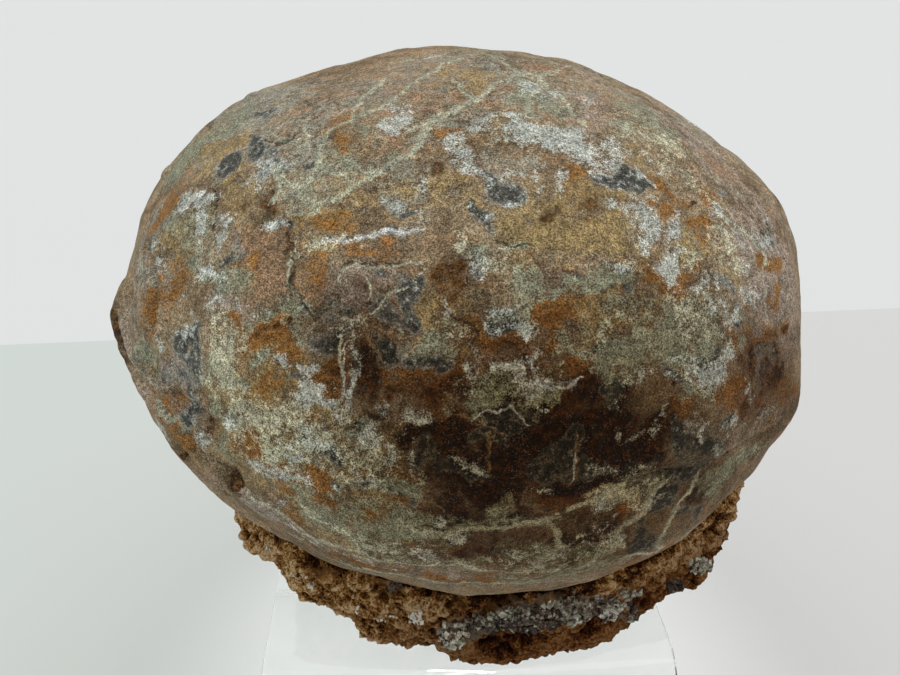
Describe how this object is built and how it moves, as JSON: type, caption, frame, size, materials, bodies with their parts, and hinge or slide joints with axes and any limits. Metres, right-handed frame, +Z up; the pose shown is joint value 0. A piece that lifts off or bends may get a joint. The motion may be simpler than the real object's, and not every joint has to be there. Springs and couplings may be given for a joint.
{
  "type": "fossil dinosaur egg",
  "caption": "Wide, slightly crushed fossil egg with a cracked mottled shell, set in rough brown rock matrix and resting on a bent clear acrylic riser.",
  "frame": {"origin": "bottom centre of the whole object's box, on the surface that the riser stands on", "axes": "+Z up, +X towards the viewer's right along the riser's open direction, -Y to the front"},
  "size_m": [0.1578, 0.145, 0.2109],
  "materials": {
    "fossil_shell": "mottled brown, rust and blue-grey fossil shell with pale sage veins, dull to satin",
    "matrix_rock": "rough porous brown rock with grey-blue calcite crystals",
    "clear_acrylic": "clear cast acrylic, polished"
  },
  "bodies": {
    "root": {"egg": "fossil_shell", "matrix_base": "matrix_rock", "display_stand": "clear_acrylic"}
  },
  "joints": []
}
